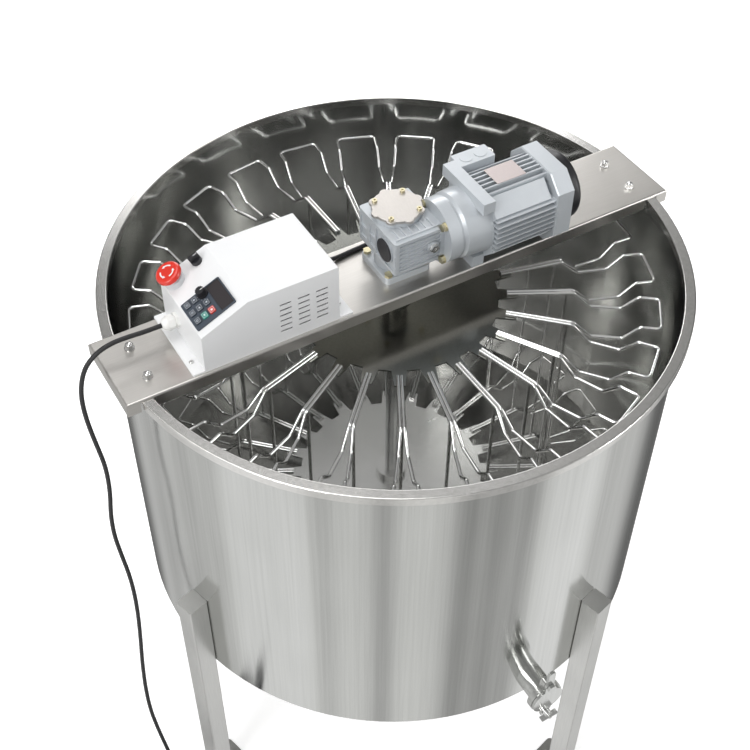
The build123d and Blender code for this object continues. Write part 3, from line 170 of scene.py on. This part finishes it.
def mix_colour(tree, factor, a, b):
    n = tree.nodes.new("ShaderNodeMix")
    n.data_type = "RGBA"
    n.inputs["A"].default_value = (*a, 1.0)
    n.inputs["B"].default_value = (*b, 1.0)
    tree.links.new(factor, n.inputs["Factor"])
    return n.outputs["Result"]


def bumped(tree, shader, height, strength, distance):
    b = node(tree, "ShaderNodeBump", Strength=strength, Distance=distance)
    tree.links.new(height, b.inputs["Height"])
    tree.links.new(b.outputs["Normal"], shader.inputs["Normal"])


def metal(name, dark, light, rough, stretch, bump, fine=1.0):
    """Rolled or ground metal: fine grain along one direction over a slow cloudy sheen."""
    m, tree, shader = new_material(name)
    shader.inputs["Metallic"].default_value = 1.0
    grain = noise(tree, mapped(tree, stretch), GRAIN_SCALE * fine, 5.0, 0.65)
    wide = tuple(0.25 * s ** 0.5 if s > 1 else s ** 0.5 for s in stretch)
    cloud = noise(tree, mapped(tree, wide), CLOUD_SCALE, 3.0)
    both = tree.nodes.new("ShaderNodeMath")
    both.operation = "MULTIPLY_ADD"
    both.inputs[1].default_value = GRAIN_SHARE
    tree.links.new(grain, both.inputs[0])
    tree.links.new(cloud, both.inputs[2])
    sheen = both.outputs[0]
    colour = mix_colour(tree, spread(tree, sheen, 0, 1, 0.5, 0.95), dark, light)
    tree.links.new(colour, shader.inputs["Base Color"])
    tree.links.new(spread(tree, sheen, *rough, 0.45, 0.95), shader.inputs["Roughness"])
    bumped(tree, shader, grain, bump, GRAIN_DEPTH)
    return m


def coated(name, colour, shade, rough, scale, bump, metallic=0.0, coat=0.0):
    """Paint, casting skin or moulded plastic: a fine peel or grain and slightly uneven colour."""
    m, tree, shader = new_material(name)
    shader.inputs["Metallic"].default_value = metallic
    shader.inputs["Coat Weight"].default_value = coat
    shader.inputs["Coat Roughness"].default_value = 0.15
    vector = mapped(tree, (1, 1, 1))
    blotch = noise(tree, vector, BLOTCH_SCALE, 5.0, 0.6)
    peel = noise(tree, vector, scale, 3.0, 0.6)
    tree.links.new(mix_colour(tree, spread(tree, blotch, 0, 1), shade, colour), shader.inputs["Base Color"])
    tree.links.new(spread(tree, blotch, *rough), shader.inputs["Roughness"])
    bumped(tree, shader, peel, bump, PEEL_DEPTH)
    return m


def glossy(name, colour, rough, coat=0.0):
    shade = tuple(0.85 * c for c in colour)
    return coated(name, colour, shade, (rough, rough + 0.06), 1200.0, 0.03, coat=coat)


def dress(material, *names):
    for name in names:
        obj = NODES[name]
        if not obj.material_slots:
            obj.data.materials.append(material)
        for slot in obj.material_slots:
            slot.material = material


drum_mat = metal(
    "drum sheet", dark=(0.47, 0.475, 0.46), light=(0.64, 0.645, 0.63), rough=(0.11, 0.15),
    stretch=(9, 9, 0.12), bump=0.001, fine=0.5)
floor_mat = metal(
    "drum floor", dark=(0.34, 0.335, 0.32), light=(0.56, 0.555, 0.54), rough=(0.12, 0.22),
    stretch=(3, 3, 3), bump=0.03)
rim_mat = metal(
    "rim", dark=(0.56, 0.555, 0.535), light=(0.76, 0.75, 0.73), rough=(0.14, 0.24),
    stretch=(4, 4, 4), bump=0.03)
bar_mat = metal(
    "crossbar", dark=(0.53, 0.51, 0.485), light=(0.66, 0.64, 0.61), rough=(0.26, 0.38),
    stretch=(0.6, 18, 18), bump=0.06)
leg_mat = metal(
    "legs", dark=(0.48, 0.48, 0.47), light=(0.68, 0.68, 0.66), rough=(0.26, 0.40),
    stretch=(16, 16, 0.5), bump=0.08)
# The upper disc's dark colour is a painted reflection: it stands in for the shaded undersides of the
# crossbar and motor that the disc mirrors.
upper_disc_painted_reflection_mat = metal(
    "upper disc painted reflection", dark=(0.27, 0.275, 0.255), light=(0.40, 0.40, 0.375), rough=(0.14, 0.22),
    stretch=(5, 5, 5), bump=0.02)
disc_mat = metal(
    "lower disc", dark=(0.73, 0.73, 0.715), light=(0.78, 0.78, 0.765), rough=(0.25, 0.28),
    stretch=(2, 2, 2), bump=0.002)
wire_mat = metal(
    "wire", dark=(0.70, 0.70, 0.69), light=(0.90, 0.90, 0.89), rough=(0.05, 0.12),
    stretch=(8, 8, 8), bump=0.02)
shaft_mat = metal(
    "shaft", dark=(0.50, 0.50, 0.50), light=(0.74, 0.74, 0.73), rough=(0.16, 0.28),
    stretch=(2, 2, 30), bump=0.06)
bolt_mat = metal(
    "fasteners", dark=(0.66, 0.66, 0.65), light=(0.88, 0.88, 0.87), rough=(0.14, 0.26),
    stretch=(12, 12, 12), bump=0.05)
zinc_mat = metal(
    "zinc bolts", dark=(0.50, 0.44, 0.24), light=(0.78, 0.72, 0.52), rough=(0.22, 0.36),
    stretch=(14, 14, 14), bump=0.08)
bronze_mat = metal(
    "bronze", dark=(0.42, 0.26, 0.10), light=(0.72, 0.50, 0.22), rough=(0.22, 0.36),
    stretch=(10, 10, 10), bump=0.08)
cover_mat = metal(
    "cover plate", dark=(0.50, 0.475, 0.45), light=(0.66, 0.63, 0.60), rough=(0.38, 0.50),
    stretch=(20, 3, 3), bump=0.10)
plate_mat = metal(
    "rating plate", dark=(0.50, 0.44, 0.43), light=(0.62, 0.56, 0.55), rough=(0.42, 0.54),
    stretch=(20, 3, 3), bump=0.06)

cast_mat = coated(
    "sprayed casting", (0.56, 0.59, 0.615), (0.49, 0.52, 0.55), (0.30, 0.42), 520.0, 0.20,
    metallic=0.25, coat=0.3)
white_mat = coated(
    "white powder coat", (0.80, 0.805, 0.81), (0.755, 0.76, 0.768), (0.34, 0.44), 700.0, 0.10, coat=0.15)
black_mat = coated("black plastic", (0.022, 0.022, 0.026), (0.012, 0.012, 0.014), (0.34, 0.48), 900.0, 0.15)
rubber_mat = coated("cord rubber", (0.020, 0.020, 0.022), (0.010, 0.010, 0.011), (0.45, 0.60), 500.0, 0.12)
keypad_mat = coated(
    "keypad", (0.052, 0.066, 0.088), (0.040, 0.052, 0.070), (0.38, 0.48), 900.0, 0.10, coat=0.1)
key_mat = coated("keys", (0.050, 0.062, 0.080), (0.036, 0.046, 0.060), (0.36, 0.46), 900.0, 0.10)
green_mat = coated("run key", (0.020, 0.26, 0.21), (0.014, 0.20, 0.16), (0.34, 0.44), 900.0, 0.10)
redkey_mat = coated("stop key", (0.60, 0.055, 0.040), (0.48, 0.040, 0.030), (0.34, 0.44), 900.0, 0.10)
grey_mat = coated("collar", (0.66, 0.67, 0.69), (0.56, 0.57, 0.59), (0.32, 0.42), 900.0, 0.08, coat=0.2)
gland_mat = coated("gland", (0.82, 0.82, 0.80), (0.74, 0.74, 0.72), (0.32, 0.42), 900.0, 0.08, coat=0.2)
inverter_mat = coated("inverter", (0.12, 0.13, 0.14), (0.08, 0.09, 0.10), (0.4, 0.5), 900.0, 0.12)
window_mat = glossy("display glass", (0.035, 0.030, 0.032), 0.12, coat=0.25)
bezel_mat = glossy("display frame", (0.035, 0.038, 0.045), 0.30)
mark_mat = glossy("white marks", (0.80, 0.80, 0.80), 0.40)
dim_mat = glossy("grey marks", (0.58, 0.61, 0.65), 0.45)
estop_mat = coated(
    "stop red", (0.70, 0.030, 0.012), (0.60, 0.022, 0.010), (0.24, 0.32), 900.0, 0.04, coat=0.5)

# Rolled sheet smears what it mirrors up and down.
drum_tree = drum_mat.node_tree
drum_shader = drum_tree.nodes["Principled BSDF"]
drum_shader.inputs["Anisotropic"].default_value = 0.75
drum_shader.inputs["Anisotropic Rotation"].default_value = 0.25
rolled = drum_tree.nodes.new("ShaderNodeTangent")
rolled.direction_type = "RADIAL"
rolled.axis = "Z"
drum_tree.links.new(rolled.outputs[0], drum_shader.inputs["Tangent"])

dress(drum_mat, "drum_wall", "gate_outlet", "gate_flap", "bar_brackets")
dress(floor_mat, "drum_floor", "bearing_housing")
dress(rim_mat, "top_rim")
dress(bar_mat, "crossbar")
dress(leg_mat, "legs", "foot_plates")
dress(upper_disc_painted_reflection_mat, "upper_disc")
dress(disc_mat, "lower_disc")
dress(wire_mat, "upper_loops", "lower_loops", "basket_rods")
dress(shaft_mat, "main_shaft", "shaft_coupling", "worm_shaft", "bottom_bearing", "gearbox_bearings")
dress(bolt_mat, "bar_studs", "acorn_nuts", "box_screws", "gate_clamp", "oil_plug")
dress(zinc_mat, "gearbox_screws", "motor_bolts")
dress(bronze_mat, "worm_wheel")
dress(cast_mat, "gearbox_housing", "gearbox_flange", "motor_front_shield", "motor_housing",
      "motor_rear_shield", "terminal_box")
dress(cover_mat, "gearbox_cover")
dress(plate_mat, "motor_nameplate")
dress(black_mat, "fan_cowl", "worm_end_cap", "motor_fan", "selector_knob", "speed_knob")
dress(white_mat, "control_box_cover", "control_box_base")
dress(inverter_mat, "inverter_module")
dress(keypad_mat, "keypad_panel")
dress(key_mat, "menu_key", "up_key", "enter_key", "shift_key", "down_key", "jog_key")
dress(green_mat, "run_key")
dress(redkey_mat, "stop_key")
dress(estop_mat, "estop_button")
dress(grey_mat, "estop_collar")
dress(gland_mat, "mains_gland")
dress(rubber_mat, "mains_cord", "cord_coil", "mains_plug", "motor_lead")
cord.data.materials.append(rubber_mat)

# ---------------------------------------------------------------- operator panel
# In panel millimetres u runs up the cover's slope, v across it to the back and w out of it.
SLOPE = atan2(39, 83)
PANEL_U = Vector((cos(SLOPE), 0, sin(SLOPE)))
PANEL_V = Vector((0, 1, 0))
PANEL_N = Vector((-sin(SLOPE), 0, cos(SLOPE)))
PANEL_O = Vector((-0.397, -0.074, 1.209))


def on_panel(u, v, w):
    return PANEL_O + (PANEL_U * u + PANEL_V * v + PANEL_N * w) * 0.001


def slab(bm, outline, low, high):
    """A closed flat piece of any outline, from low to high above the panel."""
    bottom = [bm.verts.new(on_panel(u, v, low)) for u, v in outline]
    top = [bm.verts.new(on_panel(u, v, high)) for u, v in outline]
    bm.faces.new(top)
    bm.faces.new(list(reversed(bottom)))
    for i in range(len(outline)):
        j = (i + 1) % len(outline)
        bm.faces.new((bottom[i], bottom[j], top[j], top[i]))


def panel_slabs(name, material, body, outlines, low, high):
    """One piece, made of flat slabs that all reach from low to high above the panel."""
    bm = bmesh.new()
    for outline in outlines:
        slab(bm, outline, low, high)
    bmesh.ops.recalc_face_normals(bm, faces=bm.faces)
    mesh = bpy.data.meshes.new(name)
    bm.to_mesh(mesh)
    bm.free()
    mesh.materials.append(material)
    obj = link(bpy.data.objects.new(name, mesh))
    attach(obj, body)


def oblong(u0, v0, u1, v1):
    return [(u0, v0), (u1, v0), (u1, v1), (u0, v1)]


def rounded(u, v, width, height, radius, steps=5):
    pts = []
    for cu, cv, start in ((1, 1, 0), (-1, 1, 90), (-1, -1, 180), (1, -1, 270)):
        corner_u = u + cu * (width / 2 - radius)
        corner_v = v + cv * (height / 2 - radius)
        for i in range(steps + 1):
            a = radians(start + 90 * i / steps)
            pts.append((corner_u + radius * cos(a), corner_v + radius * sin(a)))
    return pts


def sector(u, v, inner, outer, start, end, steps=12):
    pts = []
    for i in range(steps + 1):
        a = radians(start + (end - start) * i / steps)
        pts.append((u + outer * cos(a), v + outer * sin(a)))
    for i in range(steps + 1):
        a = radians(end + (start - end) * i / steps)
        pts.append((u + inner * cos(a), v + inner * sin(a)))
    return pts


# The display, in the keypad plate's recess: a dark window and a thin bezel round it.
DISPLAY_U, DISPLAY_V = 64.5, 47.5
DISPLAY_LOW, WINDOW_TOP, BEZEL_TOP = 1.85, 2.5, 2.9
BEZEL_HALF_U, BEZEL_HALF_V, BEZEL_BAR = 12.1, 30.1, 0.8


def bezel_bars():
    u0, u1 = DISPLAY_U - BEZEL_HALF_U, DISPLAY_U + BEZEL_HALF_U
    v0, v1 = DISPLAY_V - BEZEL_HALF_V, DISPLAY_V + BEZEL_HALF_V
    inner_u0, inner_u1 = u0 + BEZEL_BAR, u1 - BEZEL_BAR
    return [
        oblong(u0, v0, inner_u0, v1), oblong(inner_u1, v0, u1, v1),
        oblong(inner_u0, v0, inner_u1, v0 + BEZEL_BAR), oblong(inner_u0, v1 - BEZEL_BAR, inner_u1, v1)]


panel_slabs("display_window", window_mat, "stand",
            [rounded(DISPLAY_U, DISPLAY_V, 22.6, 58.6, 1.2)], DISPLAY_LOW, WINDOW_TOP)
panel_slabs("display_bezel", bezel_mat, "stand", bezel_bars(), DISPLAY_LOW, BEZEL_TOP)

# The keys' prints: a thin outline and a plain sign on each.
KEYS = {
    "menu_key": (12.5, 70.0), "up_key": (26.5, 70.0), "enter_key": (12.5, 50.5), "shift_key": (26.5, 50.5),
    "down_key": (40.5, 50.5), "jog_key": (12.5, 31.0), "run_key": (26.5, 31.0), "stop_key": (40.5, 31.0)}
KEY_TOP = 4.6
PRINT_LOW, PRINT_HIGH = KEY_TOP - 0.05, KEY_TOP + 0.06
OUTLINE_U, OUTLINE_V, LINE = 7.6, 9.6, 0.45
KEY_OUTLINE = [
    oblong(u - width / 2, v - height / 2, u + width / 2, v + height / 2)
    for u, v, width, height in (
        (0, OUTLINE_V / 2, OUTLINE_U, LINE), (0, -OUTLINE_V / 2, OUTLINE_U, LINE),
        (OUTLINE_U / 2, 0, LINE, OUTLINE_V), (-OUTLINE_U / 2, 0, LINE, OUTLINE_V))]
THREE_BARS = [oblong(u - 0.3, -2.4, u + 0.3, 2.4) for u in (-1.5, 0, 1.5)]
SIGNS = {
    "menu_key": THREE_BARS,
    "up_key": [[(2.4, 0), (-1.6, 2.2), (-1.6, -2.2)]],
    "enter_key": THREE_BARS,
    "shift_key": [[(0, 2.6), (-2.0, -1.8), (2.0, -1.8)]],
    "down_key": [[(-2.4, 0), (1.6, -2.2), (1.6, 2.2)]],
    "jog_key": [sector(0, 0, 1.3, 2.2, 20, 320)],
    "run_key": [[(0, -2.8), (2.2, 1.8), (-2.2, 1.8)]],
    "stop_key": [oblong(-1.9, -1.9, 1.9, 1.9)],
}

for key, (key_u, key_v) in KEYS.items():
    ink = mark_mat if key in ("run_key", "stop_key") else dim_mat
    outlines = [[(key_u + u, key_v + v) for u, v in outline] for outline in KEY_OUTLINE + SIGNS[key]]
    panel_slabs(key + "_print", ink, key + "_cap", outlines, PRINT_LOW, PRINT_HIGH)

# The speed knob's pointer and scale, and the selector's mark.
DIAL_U, DIAL_V = 43.0, 69.5
panel_slabs("speed_pointer", mark_mat, "speed_dial",
            [oblong(DIAL_U + 1.0, DIAL_V - 0.6, DIAL_U + 7.0, DIAL_V + 0.6)], 14.9, 15.4)
panel_slabs("speed_dial_ticks", dim_mat, "stand",
            [sector(DIAL_U, DIAL_V, 10.1, 11.3, a - 3, a + 3, 2) for a in range(110, 261, 30)], 2.95, 3.06)
panel_slabs("selector_mark", mark_mat, "selector", [oblong(66.9, 136.3, 74.0, 137.7)], 15.6, 16.2)

STOP_U, STOP_V, CROWN = 19.3, 134.0, 27.82
ARC_SWEEP, TIP_SWEEP = 62, 84


def stop_arrows():
    """Three turning arrows on the stop button's crown."""
    outlines = []
    for k in range(3):
        start = 25 + 120 * k
        outlines.append(sector(STOP_U, STOP_V, 10.2, 12.6, start, start + ARC_SWEEP, 14))
        base, tip = radians(start + ARC_SWEEP), radians(start + TIP_SWEEP)
        outlines.append([
            (STOP_U + radius * cos(a), STOP_V + radius * sin(a))
            for radius, a in ((8.8, base), (14.0, base), (11.4, tip))])
    return outlines


panel_slabs("stop_arrows", mark_mat, "stop_button", stop_arrows(), CROWN - 0.1, CROWN + 0.07)

# ---------------------------------------------------------------- studio
floor_mesh = bpy.data.meshes.new("studio_floor")
bm = bmesh.new()
bmesh.ops.create_grid(bm, x_segments=2, y_segments=2, size=40.0)
bm.to_mesh(floor_mesh)
bm.free()
studio_floor = link(bpy.data.objects.new("studio_floor", floor_mesh))
studio_floor.location = (0, 0, -0.0005)
studio_mat, studio_tree, studio_shader = new_material("studio floor")
studio_shader.inputs["Base Color"].default_value = (0.92, 0.92, 0.92, 1)
studio_shader.inputs["Roughness"].default_value = 0.9
studio_shader.inputs["Emission Color"].default_value = (1, 1, 1, 1)
studio_shader.inputs["Emission Strength"].default_value = 0.55
floor_mesh.materials.append(studio_mat)
studio_floor.visible_glossy = False  # so that metal mirrors the ring of panels below


def area_light(name, at, target, size, power):
    data = bpy.data.lights.new(name, "AREA")
    data.shape = "RECTANGLE"
    data.size, data.size_y = size
    data.energy = power
    obj = link(bpy.data.objects.new(name, data))
    obj.location = at
    obj.rotation_mode = "QUATERNION"
    obj.rotation_quaternion = (Vector(target) - Vector(at)).to_track_quat("-Z", "Y")


area_light("overhead", (-0.6, 0.4, 4.2), (0, 0, 1.0), (3.0, 2.0), power=50)
area_light("key", (-3.4, -1.6, 3.2), (0, 0, 0.9), (1.4, 2.2), power=70)
area_light("fill", (2.8, -2.6, 2.2), (0, 0, 0.8), (1.0, 2.4), power=34)
area_light("rim_light", (1.6, 3.4, 3.0), (0, 0, 1.0), (2.4, 1.2), power=44)

# The metal mirrors a ring of pale panels with dark gaps between them, and a ceiling over it.
# Each row is a place round the ring, from 0 to 1, and its brightness.
PANELS = [
    (0.00, 1.5), (0.05, 1.3), (0.075, 0.5), (0.10, 0.95), (0.14, 0.8), (0.155, 0.4), (0.175, 0.95),
    (0.23, 0.95), (0.255, 0.25), (0.275, 0.75), (0.295, 0.3), (0.315, 0.8), (0.335, 0.2), (0.365, 1.4),
    (0.42, 1.5), (0.445, 0.4), (0.475, 0.8), (0.51, 0.6), (0.535, 0.12), (0.60, 0.06), (0.635, 1.2),
    (0.67, 1.5), (0.705, 0.15), (0.76, 0.05), (0.795, 0.9), (0.825, 0.3), (0.855, 1.0), (0.885, 0.4),
    (0.915, 0.9), (0.94, 0.5), (0.965, 1.5), (1.0, 1.5)]
CEILING = 0.75

world = bpy.data.worlds.new("studio")
scene.world = world
world.use_nodes = True
sky = world.node_tree
sky.nodes.clear()
coord = sky.nodes.new("ShaderNodeTexCoord")
split = sky.nodes.new("ShaderNodeSeparateXYZ")
sky.links.new(coord.outputs["Generated"], split.inputs[0])
height = split.outputs["Z"]

turn = sky.nodes.new("ShaderNodeMath")
turn.operation = "ARCTAN2"
sky.links.new(split.outputs["Y"], turn.inputs[0])
sky.links.new(split.outputs["X"], turn.inputs[1])
panels = sky.nodes.new("ShaderNodeValToRGB")
panels.color_ramp.interpolation = "B_SPLINE"
sky.links.new(spread(sky, turn.outputs[0], 0.0, 1.0, -pi, pi), panels.inputs["Fac"])
while len(panels.color_ramp.elements) < len(PANELS):
    panels.color_ramp.elements.new(0.5)
# Every place is set before any brightness, because the ramp keeps its elements in order of place.
for element, (place, shade) in zip(panels.color_ramp.elements, PANELS):
    element.position = place
for element, (place, shade) in zip(panels.color_ramp.elements, PANELS):
    element.color = (shade, shade, shade * 0.99, 1)

above = sky.nodes.new("ShaderNodeMix")
above.data_type = "RGBA"
above.inputs["B"].default_value = (CEILING, CEILING, CEILING, 1)
sky.links.new(spread(sky, height, 0.0, 1.0, 0.70, 0.98), above.inputs["Factor"])
sky.links.new(panels.outputs["Color"], above.inputs["A"])

# The drum's outside mirrors what is below eye level, and the ring is at full strength there.
lit = sky.nodes.new("ShaderNodeBackground")
sky.links.new(spread(sky, height, 1.0, 0.64, -0.1, 0.4), lit.inputs["Strength"])
sky.links.new(above.outputs["Result"], lit.inputs["Color"])

# The camera itself sees plain white.
seen = node(sky, "ShaderNodeBackground", Color=(1, 1, 1, 1), Strength=1.0)
path = sky.nodes.new("ShaderNodeLightPath")
pick = sky.nodes.new("ShaderNodeMixShader")
sky.links.new(path.outputs["Is Camera Ray"], pick.inputs["Fac"])
sky.links.new(lit.outputs[0], pick.inputs[1])
sky.links.new(seen.outputs[0], pick.inputs[2])
out = sky.nodes.new("ShaderNodeOutputWorld")
sky.links.new(pick.outputs[0], out.inputs["Surface"])
scene.view_settings.view_transform = "Standard"
